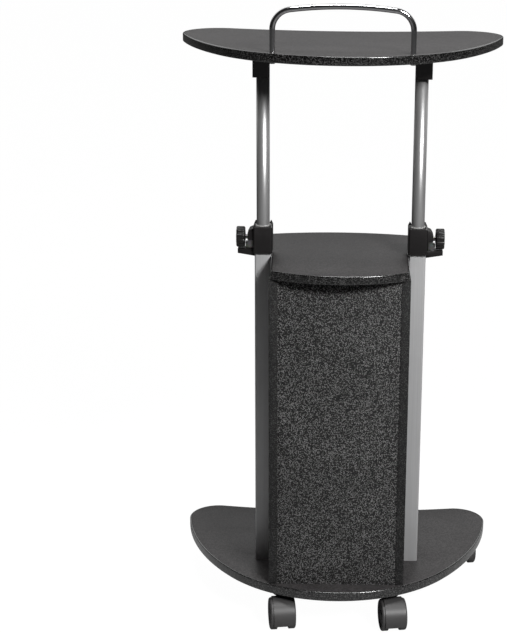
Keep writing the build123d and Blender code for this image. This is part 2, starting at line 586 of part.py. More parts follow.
# ---- loop bar ----------------------------------------------------------------------------------
SCREW_DEPTH = 12.0
LOOP_SCREW_HEAD_R, LOOP_SCREW_HEAD = 5.0, 3.0
loop_plane = Plane.XZ.offset(-LOOP_Y)
with BuildPart() as loop_bar:
    with BuildLine(loop_plane) as loop_line:
        leg = Line((-LOOP_X, LEG_BOTTOM), (-LOOP_X, LOOP_LEG_TOP))
        corner = JernArc(start=leg @ 1, tangent=leg % 1, radius=LOOP_CORNER_R, arc_size=-LOOP_CORNER_DEG)
        crown_deg = 90 - LOOP_CORNER_DEG
        crown_r = -(corner @ 1).X / sin(radians(crown_deg))
        crown = JernArc(start=corner @ 1, tangent=corner % 1, radius=crown_r, arc_size=-2 * crown_deg)
        bend = JernArc(start=crown @ 1, tangent=crown % 1, radius=LOOP_CORNER_R, arc_size=-LOOP_CORNER_DEG)
        Line(bend @ 1, (LOOP_X, LEG_BOTTOM))
    with BuildSketch(Plane(origin=(-LOOP_X, LOOP_Y, LEG_BOTTOM))):
        Circle(LOOP_R)
    sweep(path=loop_line.wires()[0])
    with BuildSketch(Plane.XY.offset(LEG_BOTTOM)):
        with Locations((-LOOP_X, LOOP_Y), (LOOP_X, LOOP_Y)):
            Circle(LOOP_SCREW_R + HOLE_GAP)
    extrude(amount=SCREW_DEPTH, mode=Mode.SUBTRACT)
save(loop_bar.part, "loop_bar")

with BuildPart() as loop_screws:
    for side in SIDES.values():
        seat = Plane(origin=(side * LOOP_X, LOOP_Y, TOP_UNDER))
        add(screw(seat, LOOP_SCREW_HEAD_R, LOOP_SCREW_HEAD, LOOP_SCREW_R, SCREW_DEPTH))
save(loop_screws.part, "loop_screws")

# ---- casters -----------------------------------------------------------------------------------
PIN_KING_R, KING_BOTTOM = 4.0, 46.0
HOOD_TOP = CASTER_HEIGHT - PLATE_THICK - 0.3
WEB_R, WEB_HALF, HOOD_CUT = 31.5, 9.6, 15.5
FENDER_IN, FENDER_OUT, FENDER_HALF = WHEEL_R + 0.6, WHEEL_R + 2.4, 18.0
BOSS_R, FLANGE_R, FLANGE_START = 9.4, 14.5, 62.0
AXLE_R, AXLE_HALF = 3.0, 19.3
TREAD_START, TREAD_END, WHEEL_HALF = 10.8, 20.3, 23.8
RIM_R, DISH_R, CAP_R, DISH_DEPTH = 26.6, 24.0, 9.0, 1.5
BRAKED = ("rear_left", "rear_right")
PIVOT_BACK, PIVOT_UP, PIVOT_R = -10.0, 17.0, 2.0
SLOT_HALF, PEDAL_HALF = 4.2, 16.0
PEDAL_IN, PEDAL_OUT = FENDER_OUT + 0.8, FENDER_OUT + 4.0
PEDAL_FROM, PEDAL_TO = 30.0, 62.0


def ring_sector(inner, outer, start, end):
    """Sector of a ring about the axle: radii, and angles up from the way the caster trails."""
    with BuildSketch() as sector:
        with BuildLine():
            a = CenterArc((0, 0), outer, 180 - end, end - start)
            b = CenterArc((0, 0), inner, 180 - end, end - start)
            Line(a @ 0, b @ 0)
            Line(a @ 1, b @ 1)
        make_face()
    return sector.sketch


with BuildPart() as caster_plates:
    for x, y in CASTERS.values():
        plate_under = Plane(origin=(x, y, CASTER_HEIGHT - PLATE_THICK))
        with BuildSketch(plate_under):
            RectangleRounded(PLATE, PLATE, 5)
            with GridLocations(2 * PLATE_HOLE, 2 * PLATE_HOLE, 2, 2):
                Circle(PLATE_SCREW_R + HOLE_GAP, mode=Mode.SUBTRACT)
        extrude(amount=PLATE_THICK)
        with BuildSketch(plate_under):
            Circle(PIN_KING_R)
        extrude(amount=KING_BOTTOM - plate_under.origin.Z)
save(caster_plates.part, "caster_plates")

with BuildPart() as caster_screws:
    for x, y in CASTERS.values():
        for dx in (-PLATE_HOLE, PLATE_HOLE):
            for dy in (-PLATE_HOLE, PLATE_HOLE):
                seat = Plane(origin=(x + dx, y + dy, CASTER_HEIGHT - PLATE_THICK))
                add(screw(seat, PLATE_SCREW_HEAD_R, PLATE_SCREW_HEAD, PLATE_SCREW_R, PLATE_SCREW_LEN))
save(caster_screws.part, "caster_screws")

for name in CASTERS:
    swivel = caster_plane(name)
    hub = swivel.from_local_coords(Vector(0, -TRAIL, WHEEL_R))
    across = Plane(origin=hub, x_dir=swivel.y_dir, z_dir=swivel.x_dir)  # x back, y up, z along the axle
    section = Plane(origin=hub, x_dir=swivel.x_dir, z_dir=-swivel.y_dir)  # x along the axle, y up
    pivot = across.from_local_coords(Vector(PIVOT_BACK, PIVOT_UP, 0))
    pivot_plane = Plane(origin=pivot, x_dir=swivel.y_dir, z_dir=swivel.x_dir)

    with BuildPart() as hood:
        with BuildSketch(across):
            Circle(FENDER_OUT)
            Circle(FENDER_IN, mode=Mode.SUBTRACT)
        extrude(amount=FENDER_HALF, both=True)
        with BuildSketch(across):
            Circle(WEB_R)
        extrude(amount=WEB_HALF, both=True)
        with BuildSketch(swivel.offset(WHEEL_R)):
            Circle(BOSS_R)
        extrude(amount=FLANGE_START - WHEEL_R)
        with BuildSketch(swivel.offset(FLANGE_START)):
            Circle(FLANGE_R)
        extrude(amount=HOOD_TOP - FLANGE_START)
        chamfer(hood.faces().sort_by(Axis.Z)[-1].edges(), length=1.5)
        with BuildSketch(swivel):
            with Locations((0, -TRAIL)):
                Rectangle(4 * FENDER_OUT, 4 * FENDER_OUT)
        extrude(amount=HOOD_CUT, mode=Mode.SUBTRACT)
        with BuildSketch(swivel.offset(HOOD_TOP)):
            Circle(PIN_KING_R + RUNNING_FIT)
        extrude(amount=KING_BOTTOM - HOOD_TOP - 0.5, mode=Mode.SUBTRACT)
        with BuildSketch(across):
            Circle(AXLE_R)
        extrude(amount=WEB_HALF, both=True, mode=Mode.SUBTRACT)
        if name in BRAKED:
            with BuildSketch(across):
                add(ring_sector(12.5, FENDER_OUT + 1, PEDAL_FROM, PEDAL_TO + 26))
            extrude(amount=SLOT_HALF, both=True, mode=Mode.SUBTRACT)
            with BuildSketch(pivot_plane):
                Circle(PIVOT_R + RUNNING_FIT)
            extrude(amount=WEB_HALF - 2, both=True, mode=Mode.SUBTRACT)
    save(hood.part, f"caster_hood_{name}")

    with BuildPart() as axle:
        with BuildSketch(across):
            Circle(AXLE_R)
        extrude(amount=AXLE_HALF, both=True)
    save(axle.part, f"caster_axle_{name}")

    for side_name, side in SIDES.items():
        with BuildPart() as wheel:
            with BuildSketch(section):
                with BuildLine():
                    bore = Polyline(
                        (side * (AXLE_HALF + 0.5), 0), (side * (AXLE_HALF + 0.5), AXLE_R + RUNNING_FIT),
                        (side * TREAD_START, AXLE_R + RUNNING_FIT), (side * TREAD_START, WHEEL_R - 6),
                        (side * (TREAD_START + 2), WHEEL_R - 5), (side * (TREAD_START + 2), WHEEL_R - 3.5),
                        (side * TREAD_START, WHEEL_R - 2.5), (side * TREAD_START, WHEEL_R - 0.8),
                        (side * (TREAD_START + 0.8), WHEEL_R), (side * TREAD_END, WHEEL_R),
                    )
                    crown = ThreePointArc(
                        bore @ 1, (side * (WHEEL_HALF - 0.9), WHEEL_R - 1.1), (side * WHEEL_HALF, RIM_R)
                    )
                    Polyline(
                        crown @ 1, (side * WHEEL_HALF, DISH_R),
                        (side * (WHEEL_HALF - DISH_DEPTH), DISH_R - 1),
                        (side * (WHEEL_HALF - DISH_DEPTH), CAP_R + 1), (side * WHEEL_HALF, CAP_R),
                        (side * WHEEL_HALF, 0), bore @ 0,
                    )
                make_face()
            revolve(axis=Axis(origin=hub, direction=swivel.x_dir))
        save(wheel.part, f"caster_wheel_{name}_{side_name}")

    if name in BRAKED:
        with BuildPart() as lever:
            with BuildSketch(across):
                add(ring_sector(PEDAL_IN, PEDAL_OUT, PEDAL_FROM, PEDAL_TO))
            extrude(amount=PEDAL_HALF, both=True)
            fillet(lever.edges().filter_by(GeomType.LINE).group_by(SortBy.LENGTH)[0], radius=1.2)
            with BuildSketch(across):
                add(ring_sector(PIVOT_UP + 2.0, PEDAL_IN + 1, PEDAL_FROM + 14, PEDAL_TO - 2))
            extrude(amount=SLOT_HALF - 0.3, both=True)
            with BuildSketch(pivot_plane):
                Circle(2 * PIVOT_R)
            extrude(amount=SLOT_HALF - 0.3, both=True)
            with BuildSketch(pivot_plane):
                Circle(PIVOT_R)
            extrude(amount=WEB_HALF - 2.4, both=True)
        save(lever.part, f"brake_lever_{name}")
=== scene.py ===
"""Looks of a rolling, height-adjustable presentation lectern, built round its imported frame.

Metres, +Z up, the audience on the -Y side. Every piece takes its place from the frame's nodes.
"""

import logging
from dataclasses import dataclass, replace
from enum import Enum
from math import ceil, cos, pi, radians, sin, tan
from typing import Any, Iterable

import bmesh
import bpy
from mathutils import Matrix, Vector


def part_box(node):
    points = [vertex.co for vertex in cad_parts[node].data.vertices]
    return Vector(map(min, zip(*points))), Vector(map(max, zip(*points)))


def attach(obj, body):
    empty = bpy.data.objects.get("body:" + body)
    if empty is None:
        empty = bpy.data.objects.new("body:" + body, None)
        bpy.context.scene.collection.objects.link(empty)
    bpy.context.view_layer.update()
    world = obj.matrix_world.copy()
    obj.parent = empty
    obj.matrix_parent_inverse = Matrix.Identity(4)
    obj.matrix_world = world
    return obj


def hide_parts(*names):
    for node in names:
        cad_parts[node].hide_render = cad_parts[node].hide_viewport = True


log = logging.getLogger("lectern")
MM = 0.001
WELD = 0.002 * MM  # vertices nearer than this are one
Rgb = tuple[float, float, float]
Point = tuple[float, float, float]
Pair = tuple[float, float]
SIDES = {"left": -1, "right": 1}
CASTER_NAMES = ("front_left", "front_right", "rear_left", "rear_right")


# ---- shader expressions ------------------------------------------------------------------------
class Sock:
    """An output socket that adds Math nodes when it is used in an expression."""

    def __init__(self, graph: "Graph", socket: bpy.types.NodeSocket) -> None:
        """Wraps a socket of a graph."""
        self.graph = graph
        self.socket = socket

    def _math(self, operation: str, first: Any, second: Any = 0.0) -> "Sock":
        """Adds one Math node."""
        return self.graph.node("ShaderNodeMath", {"operation": operation}, {0: first, 1: second})

    def __add__(self, other: Any) -> "Sock":
        """Sum."""
        return self._math("ADD", self, other)

    def __radd__(self, other: Any) -> "Sock":
        """Sum, with the number first."""
        return self._math("ADD", other, self)

    def __sub__(self, other: Any) -> "Sock":
        """Difference."""
        return self._math("SUBTRACT", self, other)

    def __rsub__(self, other: Any) -> "Sock":
        """Difference, with the number first."""
        return self._math("SUBTRACT", other, self)

    def __mul__(self, other: Any) -> "Sock":
        """Product."""
        return self._math("MULTIPLY", self, other)

    def __rmul__(self, other: Any) -> "Sock":
        """Product, with the number first."""
        return self._math("MULTIPLY", other, self)

    def between(self, low: float, high: float) -> "Sock":
        """Smooth step: 0 at low and 1 at high."""
        settings = {"interpolation_type": "SMOOTHSTEP"}
        inputs = {"Value": self, "From Min": low, "From Max": high}
        return self.graph.node("ShaderNodeMapRange", settings, inputs)


class Graph:
    """The node tree of one new material, with a Principled shader."""

    def __init__(self, name: str) -> None:
        """Makes the material.

        Args:
            name: The material's name.
        """
        self.material = bpy.data.materials.new(name)
        self.material.use_nodes = True
        self.tree = self.material.node_tree
        self.shader = self.tree.nodes["Principled BSDF"]

    @classmethod
    def over(cls, tree: bpy.types.NodeTree) -> "Graph":
        """Wraps a node tree that is there already, such as the world's."""
        graph = cls.__new__(cls)
        graph.tree = tree
        return graph

    def _feed(self, target: bpy.types.NodeSocket, value: Any) -> None:
        """Links a socket, or sets it to a number, colour or vector."""
        if isinstance(value, Sock):
            self.tree.links.new(value.socket, target)
        elif isinstance(value, tuple) and target.type == "RGBA" and len(value) == 3:
            target.default_value = (*value, 1.0)
        else:
            target.default_value = value

    def node(self, kind: str, settings: dict[str, Any], inputs: dict[Any, Any], output: Any = 0) -> Sock:
        """Adds any node.

        Args:
            kind: The node's type.
            settings: Its properties, set first.
            inputs: Its sockets' values or links, by name or number.
            output: The output wanted, by name or number.

        Returns:
            That output, wrapped.
        """
        made = self.tree.nodes.new(kind)
        for key, value in settings.items():
            setattr(made, key, value)
        for key, value in inputs.items():
            self._feed(made.inputs[key], value)
        return Sock(self, made.outputs[output])

    def place(self, stretch: Point = (1.0, 1.0, 1.0)) -> Sock:
        """Object coordinates in metres, stretched along each axis."""
        coordinates = self.node("ShaderNodeTexCoord", {}, {}, "Object")
        return self.node("ShaderNodeMapping", {}, {"Vector": coordinates, "Scale": stretch})

    def along(self, place: Sock, axis: str) -> Sock:
        """One coordinate of a place."""
        return self.node("ShaderNodeSeparateXYZ", {}, {"Vector": place}, axis)

    def noise(self, place: Sock, scale: float, detail: float = 2.0, rough: float = 0.5) -> Sock:
        """Fractal noise, scale in cells per metre."""
        inputs = {"Vector": place, "Scale": scale, "Detail": detail, "Roughness": rough}
        return self.node("ShaderNodeTexNoise", {}, inputs)

    def cells(self, place: Sock, scale: float, output: str = "Distance") -> Sock:
        """Voronoi cells, scale in cells per metre."""
        return self.node("ShaderNodeTexVoronoi", {}, {"Vector": place, "Scale": scale}, output)

    def blend(self, factor: Any, low: Any, high: Any) -> Sock:
        """Mixes two colours."""
        settings = {"data_type": "RGBA"}
        return self.node("ShaderNodeMix", settings, {0: factor, 6: low, 7: high}, 2)

    def bump(self, height: Sock, strength: float, distance: float) -> Sock:
        """Normal bumped by a height signal; distance in metres."""
        inputs = {"Height": height, "Strength": strength, "Distance": distance}
        return self.node("ShaderNodeBump", {}, inputs, "Normal")

    def surface(self, **values: Any) -> bpy.types.Material:
        """Sets the Principled shader's sockets, named with underscores for spaces."""
        for key, value in values.items():
            self._feed(self.shader.inputs[key.replace("_", " ")], value)
        return self.material


# ---- finishes ----------------------------------------------------------------------------------
@dataclass(frozen=True)
class Laminate:
    """Dark grained laminate or edge band: pale flecks on a near-black ground, over a pebbled surface.

    Where front_edge is given, whatever lies in front of that Y is darker by edge_dark, as its edge band is.
    """

    name: str
    ground: Rgb
    fleck: Rgb
    fleck_from: float
    fleck_to: float
    roughness: float
    relief: float
    grains_per_metre: float = 520.0
    front_edge: float | None = None
    edge_dark: float = 0.75
    edge_blend: float = 0.3 * MM
    coat: float = 0.0
    coat_roughness: float = 0.12
    drift_per_metre: float = 7.0
    drift_share: float = 0.18
    pebble_height: float = 0.25 * MM

    def make(self) -> bpy.types.Material:
        """Builds the material."""
        graph = Graph(self.name)
        place = graph.place()
        grain = graph.noise(place, self.grains_per_metre, 2.0, 0.6)
        flecks = graph.cells(place, self.grains_per_metre, "Color").between(self.fleck_from, self.fleck_to)
        drift = graph.noise(place, self.drift_per_metre, 3.0, 0.6)
        colour = graph.blend(flecks, self.ground, self.fleck)
        tint = graph.blend(drift.between(0.3, 0.7) * self.drift_share, colour, self.ground)
        if self.front_edge is not None:
            ahead = graph.along(place, "Y").between(self.front_edge + self.edge_blend, self.front_edge)
            tint = graph.blend(ahead * self.edge_dark, tint, self.ground)
        pebble = graph.cells(place, self.grains_per_metre * 0.8)
        return graph.surface(
            Base_Color=tint,
            Roughness=self.roughness + (drift - 0.5) * 0.08 + (grain - 0.5) * 0.15,
            Normal=graph.bump(pebble * 0.6 + grain * 0.4, self.relief, self.pebble_height),
            Coat_Weight=self.coat,
            Coat_Roughness=self.coat_roughness,
        )


@dataclass(frozen=True)
class DrawnMetal:
    """Metal with fine lines along one axis, and a little tarnish."""

    name: str
    colour: Rgb
    roughness: float
    lines: Point = (900.0, 900.0, 4.0)
    line_depth: float = 0.12
    metallic: float = 1.0

    def make(self) -> bpy.types.Material:
        """Builds the material."""
        graph = Graph(self.name)
        streaks = graph.noise(graph.place(self.lines), 1.0, 3.0, 0.6)
        clouds = graph.noise(graph.place(), 12.0, 4.0, 0.6)
        dull = tuple(0.82 * c for c in self.colour)
        tarnish = streaks.between(0.25, 0.75) * 0.6 + clouds.between(0.45, 0.7) * 0.25
        colour = graph.blend(tarnish, self.colour, dull)
        return graph.surface(
            Base_Color=colour,
            Metallic=self.metallic,
            Roughness=self.roughness + (streaks - 0.5) * 0.12 + (clouds - 0.5) * 0.08,
            Normal=graph.bump(streaks, self.line_depth, 0.02 * MM),
        )


@dataclass(frozen=True)
class MouldedPlastic:
    """Moulded plastic with a spark-eroded texture and faint handling marks."""

    name: str
    colour: Rgb
    roughness: float = 0.42
    relief: float = 0.25
    texture_per_metre: float = 1400.0
    wear: float = 0.25

    def make(self) -> bpy.types.Material:
        """Builds the material."""
        graph = Graph(self.name)
        place = graph.place()
        spark = graph.noise(place, self.texture_per_metre, 2.0, 0.6)
        handling = graph.noise(place, 45.0, 4.0, 0.65)
        rubbed = tuple(min(1.0, 1.55 * c + 0.006) for c in self.colour)
        colour = graph.blend(handling.between(0.48, 0.72) * self.wear, self.colour, rubbed)
        return graph.surface(
            Base_Color=colour,
            Roughness=self.roughness + (handling - 0.5) * 0.16 + (spark - 0.5) * 0.1,
            Normal=graph.bump(spark, self.relief, 0.08 * MM),
        )


@dataclass(frozen=True)
class ZincPlate:
    """Bright zinc plating: a faint spangle and duller patches."""

    name: str
    colour: Rgb = (0.4, 0.4, 0.39)
    roughness: float = 0.34

    def make(self) -> bpy.types.Material:
        """Builds the material."""
        graph = Graph(self.name)
        place = graph.place()
        spangle = graph.cells(place, 420.0, "Color")
        patch = graph.noise(place, 90.0, 4.0, 0.6)
        shade = graph.blend(0.12, self.colour, spangle)
        colour = graph.blend(patch.between(0.45, 0.75) * 0.35, shade, (0.33, 0.32, 0.30))
        return graph.surface(
            Base_Color=colour,
            Metallic=1.0,
            Roughness=self.roughness + (patch - 0.5) * 0.25,
            Normal=graph.bump(patch, 0.15, 0.03 * MM),
        )


@dataclass(frozen=True)
class Hardwood:
    """Pale turned wood with the grain along Z."""

    name: str
    light: Rgb = (0.62, 0.45, 0.27)
    dark: Rgb = (0.42, 0.27, 0.14)

    def make(self) -> bpy.types.Material:
        """Builds the material."""
        graph = Graph(self.name)
        rings = graph.noise(graph.place((700.0, 700.0, 30.0)), 1.0, 4.0, 0.6)
        return graph.surface(
            Base_Color=graph.blend(rings.between(0.35, 0.65), self.light, self.dark),
            Roughness=0.6 + (rings - 0.5) * 0.2,
            Normal=graph.bump(rings, 0.3, 0.1 * MM),
        )


BOARD_LAMINATE = Laminate(
    "board_laminate", ground=(0.0165, 0.015, 0.0152), fleck=(0.046, 0.0425, 0.043),
    fleck_from=0.4, fleck_to=0.66, roughness=0.5, relief=0.22,
)
PANEL_LAMINATE = Laminate(
    "panel_laminate", ground=(0.0, 0.0, 0.0), fleck=(0.22, 0.217, 0.216),
    fleck_from=0.6, fleck_to=0.8, roughness=0.66, relief=0.8, grains_per_metre=820.0,
)
SIDE_LAMINATE = replace(PANEL_LAMINATE, name="side_laminate", front_edge=-162 * MM)
EDGE_BAND = Laminate(
    "edge_band", ground=(0.001, 0.001, 0.001), fleck=(0.09, 0.0885, 0.088),
    fleck_from=0.56, fleck_to=0.8, roughness=0.24, relief=0.3, grains_per_metre=820.0, coat=1.0,
)
BRIGHT_ROD = DrawnMetal("bright_rod", (0.4, 0.4, 0.41), roughness=0.34, line_depth=0.02)
KNOB_BLACK = MouldedPlastic("knob_black", (0.012, 0.011, 0.011), roughness=0.3, relief=0.15)
CASTER_NYLON = MouldedPlastic(
    "caster_nylon", (0.055, 0.0535, 0.0535), roughness=0.46, relief=0.3, texture_per_metre=900.0
)


class Finish(Enum):
    """Every finish on the lectern: the record's material slot, and the recipe."""

    BOARD = ("board", BOARD_LAMINATE)
    PANEL = ("panel", PANEL_LAMINATE)
    SIDE = ("panel", SIDE_LAMINATE)
    EDGE = ("edge", EDGE_BAND)
    POST = ("anodised", DrawnMetal("post_aluminium", (0.54, 0.54, 0.545), roughness=0.46, metallic=0.4))
    TUBE = ("anodised", DrawnMetal("tube_aluminium", (0.6, 0.6, 0.6), roughness=0.36, metallic=0.7))
    ROD = ("bright_rod", BRIGHT_ROD)
    MOULDED = ("moulded", MouldedPlastic("moulded_black", (0.012, 0.0105, 0.0108)))
    KNOB = ("knob", KNOB_BLACK)
    ZINC = ("zinc", ZincPlate("zinc_plate"))
    SHELL = ("caster_shell", CASTER_NYLON)
    ACETAL = ("acetal", MouldedPlastic("acetal_grey", (0.4, 0.4, 0.39), roughness=0.35, relief=0.1))
    DOWEL = ("hardwood", Hardwood("dowel_beech"))

    @property
    def slot(self) -> str:
        """The record's material slot."""
        return self.value[0]

    @property
    def material(self) -> bpy.types.Material:
        """The material, made when it is first asked for."""
        recipe = self.value[1]
        return bpy.data.materials.get(recipe.name) or recipe.make()


# ---- mesh helpers ------------------------------------------------------------------------------
def finished(
    mesh: bmesh.types.BMesh, name: str, finish: Finish, body: str, *nodes: str
) -> bpy.types.Object:
    """Makes a smooth-shaded object from a bmesh, riding on a body.

    Args:
        mesh: The shape, in the frame's metres. It is freed.
        name: The piece's name.
        finish: Its finish.
        body: The body it rides on.
        nodes: The CAD nodes that it stands for.

    Returns:
        The new object.
    """
    bmesh.ops.recalc_face_normals(mesh, faces=mesh.faces)
    data = bpy.data.meshes.new(name)
    mesh.to_mesh(data)
    mesh.free()
    piece = bpy.data.objects.new(name, data)
    bpy.context.scene.collection.objects.link(piece)
    data.materials.append(finish.material)
    shade(piece)
    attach(piece, body)
    if nodes:
        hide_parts(*nodes)
    log.info("%s: %d faces on %s", name, len(data.polygons), body)
    return piece


def shade(piece: bpy.types.Object, degrees: float = 35.0) -> None:
    """Shades a piece smooth, with edges over an angle kept sharp."""
    data = piece.data
    data.shade_smooth()
    data.set_sharp_from_angle(angle=radians(degrees))


def bridge(mesh: bmesh.types.BMesh, loops: list[list[bmesh.types.BMVert]], closed: bool) -> None:
    """Joins rings of vertices, each to the next.

    Args:
        mesh: The mesh that holds them.
        loops: Rings with the same number of vertices.
        closed: Whether the last ring joins the first. Otherwise both ends are capped.
    """
    count = len(loops[0])
    pairs = list(zip(loops, loops[1:]))
    if closed:
        pairs.append((loops[-1], loops[0]))
    for here, there in pairs:
        for i in range(count):
            j = (i + 1) % count
            mesh.faces.new((here[i], here[j], there[j], there[i]))
    if not closed:
        mesh.faces.new(loops[0])
        mesh.faces.new(loops[-1])


def arc_points(centre: Pair, radius: float, start: float, end: float, steps: int) -> list[Pair]:
    """Points on an arc in a profile plane, angles in degrees."""
    angles = [radians(start + (end - start) * i / steps) for i in range(steps + 1)]
    return [(centre[0] + radius * cos(a), centre[1] + radius * sin(a)) for a in angles]


def lathe(profile: list[Pair], seat: Matrix, segments: int) -> bmesh.types.BMesh:
    """Turns a closed profile of (along, out) points about the seat's Z axis."""
    mesh = bmesh.new()
    rings = []
    for i in range(segments):
        turn = 2 * pi * i / segments
        rings.append([mesh.verts.new(seat @ Vector((r * cos(turn), r * sin(turn), z))) for z, r in profile])
    bridge(mesh, rings, closed=True)
    return mesh


def soften(piece: bpy.types.Object, bevel: float) -> None:
    """Rounds a piece's sharp edges by a width in metres."""
    soft = piece.modifiers.new("soft_edges", "BEVEL")
    soft.width = bevel
    soft.segments = 2
    soft.limit_method = "ANGLE"
    soft.angle_limit = radians(40)


def cad_node(name: str) -> bpy.types.Object:
    """A CAD node's object, from the loaded frame."""
    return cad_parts[name]


def both(stem: str) -> list[str]:
    """The left and right names of a paired piece."""
    return [f"{stem}_{side}" for side in SIDES]


def dress(nodes: Iterable[str], finish: Finish, bevel: float = 0.0) -> None:
    """Gives carried-over CAD nodes a finish, smooth shading and softened edges.

    Args:
        nodes: The nodes' names.
        finish: Their finish.
        bevel: The width of the softened edges in metres, or 0 for none.
    """
    for name in nodes:
        node = cad_node(name)
        node.data.materials.clear()
        node.data.materials.append(finish.material)
        weld = node.modifiers.new("weld", "WELD")
        weld.merge_threshold = WELD
        if bevel:
            soften(node, bevel)
        shade(node)
        log.info("%s: dressed as %s", name, finish.name.lower())


# ---- boards ------------------------------------------------------------------------------------
@dataclass(frozen=True)
class Rim:
    """A closed outline, as points and outward normals, anticlockwise from the front centre."""

    points: tuple[tuple[Vector, Vector], ...]

    @staticmethod
    def mirrored(half: list[tuple[Vector, Vector]]) -> "Rim":
        """Closes the +X half of an outline, whose first and last points are on the mirror line."""
        other = [(Vector((-p.x, p.y)), Vector((-n.x, n.y))) for p, n in reversed(half[1:-1])]
        return Rim(tuple(half + other))

    @staticmethod
    def through(half: list[Vector]) -> "Rim":
        """Closes the +X half of an outline given as points alone, and works out its normals."""
        loop = half + [Vector((-p.x, p.y)) for p in reversed(half[1:-1])]
        found = []
        for i, here in enumerate(loop):
            before, after = loop[i - 1], loop[(i + 1) % len(loop)]
            way = ((here - before).normalized() + (after - here).normalized()).normalized()
            found.append((here, Vector((way.y, -way.x))))
        return Rim(tuple(found))


@dataclass(frozen=True)
class Crescent:
    """A board's outline: nose, flank and tip arcs as (radius, end heading in degrees), and a hollow back."""

    front: float
    nose: Pair
    flank: Pair
    tip: Pair
    step: float = 0.004

    def rim(self) -> Rim:
        """Samples the outline evenly along each arc."""
        half: list[tuple[Vector, Vector]] = []
        heading, here = 0.0, Vector((0.0, self.front))
        for radius, end_degrees in (self.nose, self.flank, self.tip):
            end = radians(end_degrees)
            centre = here + radius * Vector((-sin(heading), cos(heading)))
            steps = ceil((end - heading) * radius / self.step)
            for i in range(steps):
                normal = self._normal(heading + (end - heading) * i / steps)
                half.append((centre + radius * normal, normal))
            heading, here = end, centre + radius * self._normal(end)
        dip = heading - pi
        radius = here.x / sin(dip)
        centre = here + radius * self._normal(heading)
        steps = ceil(dip * radius / self.step)
        for i in range(steps + 1):
            normal = self._normal(heading - dip * i / steps)
            half.append((centre - radius * normal, normal))
        return Rim.mirrored(half)

    @staticmethod
    def _normal(heading: float) -> Vector:
        """The outward normal of an anticlockwise outline at a heading."""
        return Vector((sin(heading), -cos(heading)))


@dataclass(frozen=True)
class ShelfOutline:
    """The middle shelf's outline: bowed front and back, and a step out behind each post."""

    front: float = -196.5 * MM
    front_corner: Pair = (122.6 * MM, -164.5 * MM)
    waist: Pair = (125.5 * MM, -60.0 * MM)
    notch_y: float = -26.4 * MM
    back_corner: Pair = (134.5 * MM, 101.0 * MM)
    back: float = 118.5 * MM
    front_radius: float = 5 * MM
    notch_radius: float = 4 * MM
    back_radius: float = 8 * MM
    step: float = 0.003

    def rim(self) -> Rim:
        """Samples the outline, with round corners."""
        front = self._bow(self.front, Vector(self.front_corner), self.front_radius)
        back = self._bow(self.back, Vector(self.back_corner), self.back_radius)[::-1]
        inner, outer = Vector((self.waist[0], self.notch_y)), Vector((self.back_corner[0], self.notch_y))
        waist = Vector(self.waist)
        half = front + self._turn(front[-1], Vector(self.front_corner), waist, self.front_radius)
        half.append(waist)
        half += self._turn(waist, inner, outer, self.notch_radius)
        half += self._turn(inner, outer, Vector(self.back_corner), self.notch_radius)
        half += self._turn(outer, Vector(self.back_corner), back[0], self.back_radius)
        return Rim.through(half + back)

    def _bow(self, middle: float, corner: Vector, radius: float) -> list[Vector]:
        """One bowed edge, from its middle to a little before its corner."""
        sag = corner.y - middle
        bow = (corner.x**2 + sag**2) / (2 * sag)
        reach = corner.x - 1.2 * radius
        steps = ceil(reach / self.step)
        found = []
        for i in range(steps + 1):
            x = reach * i / steps
            found.append(Vector((x, middle + bow - (bow**2 - x**2) ** 0.5 * (1 if bow > 0 else -1))))
        return found

    @staticmethod
    def _turn(before: Vector, corner: Vector, after: Vector, radius: float, steps: int = 6) -> list[Vector]:
        """Points of the round that takes the place of a corner."""
        back, on = (before - corner).normalized(), (after - corner).normalized()
        half_angle = back.angle(on) / 2
        run = radius / tan(half_angle)
        centre = corner + (back + on).normalized() * radius / sin(half_angle)
        start, end = corner + back * run - centre, corner + on * run - centre
        return [centre + start.lerp(end, i / steps).normalized() * radius for i in range(steps + 1)]


@dataclass(frozen=True)
class EdgeBands:
    """Thick edge bands with rounded shoulders and a fine groove where they meet the board."""

    width: float = 3.0 * MM
    shoulder: float = 2.4 * MM
    groove: float = 0.8 * MM
    groove_depth: float = 1.4 * MM
    base: Crescent = Crescent(-196.5 * MM, (260 * MM, 49.7), (436 * MM, 84.3), (57 * MM, 189.0))
    top: Crescent = Crescent(-189.5 * MM, (267 * MM, 54.8), (494 * MM, 76.1), (68 * MM, 194.2))
    shelf: ShelfOutline = ShelfOutline()

    def build(self) -> None:
        """Makes the three bands."""
        self._band("base_band", "base_edge_band", "base", self.base.rim())
        self._band("top_band", "top_edge_band", "top", self.top.rim())
        self._band("mid_shelf_band", "mid_shelf_edge_band", "base", self.shelf.rim())

    def _profile(self, low: float, high: float) -> list[Pair]:
        """The band's section as (inset, height) points."""
        s, lip = self.shoulder, self.width - self.groove
        upper = [(s - s * sin(a), high - s + s * cos(a)) for a in (radians(15 * i) for i in range(7))]
        lower = [(inset, low + high - z) for inset, z in reversed(upper)]
        groove = [(self.width, self.groove_depth), (lip, 0.6 * self.groove_depth), (lip, 0.1 * MM)]
        top = [(inset, high - deep) for inset, deep in groove]
        bottom = [(inset, low + high - z) for inset, z in reversed(top)]
        return top + upper + lower + bottom

    def _band(self, name: str, node: str, body: str, rim: Rim) -> None:
        """Sweeps the section round an outline."""
        low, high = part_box(node)
        mesh = bmesh.new()
        section = self._profile(low.z, high.z)
        rings = [[mesh.verts.new((*(p - n * inset), z)) for inset, z in section] for p, n in rim.points]
        bridge(mesh, rings, closed=True)
        finished(mesh, name, Finish.EDGE, body, node)


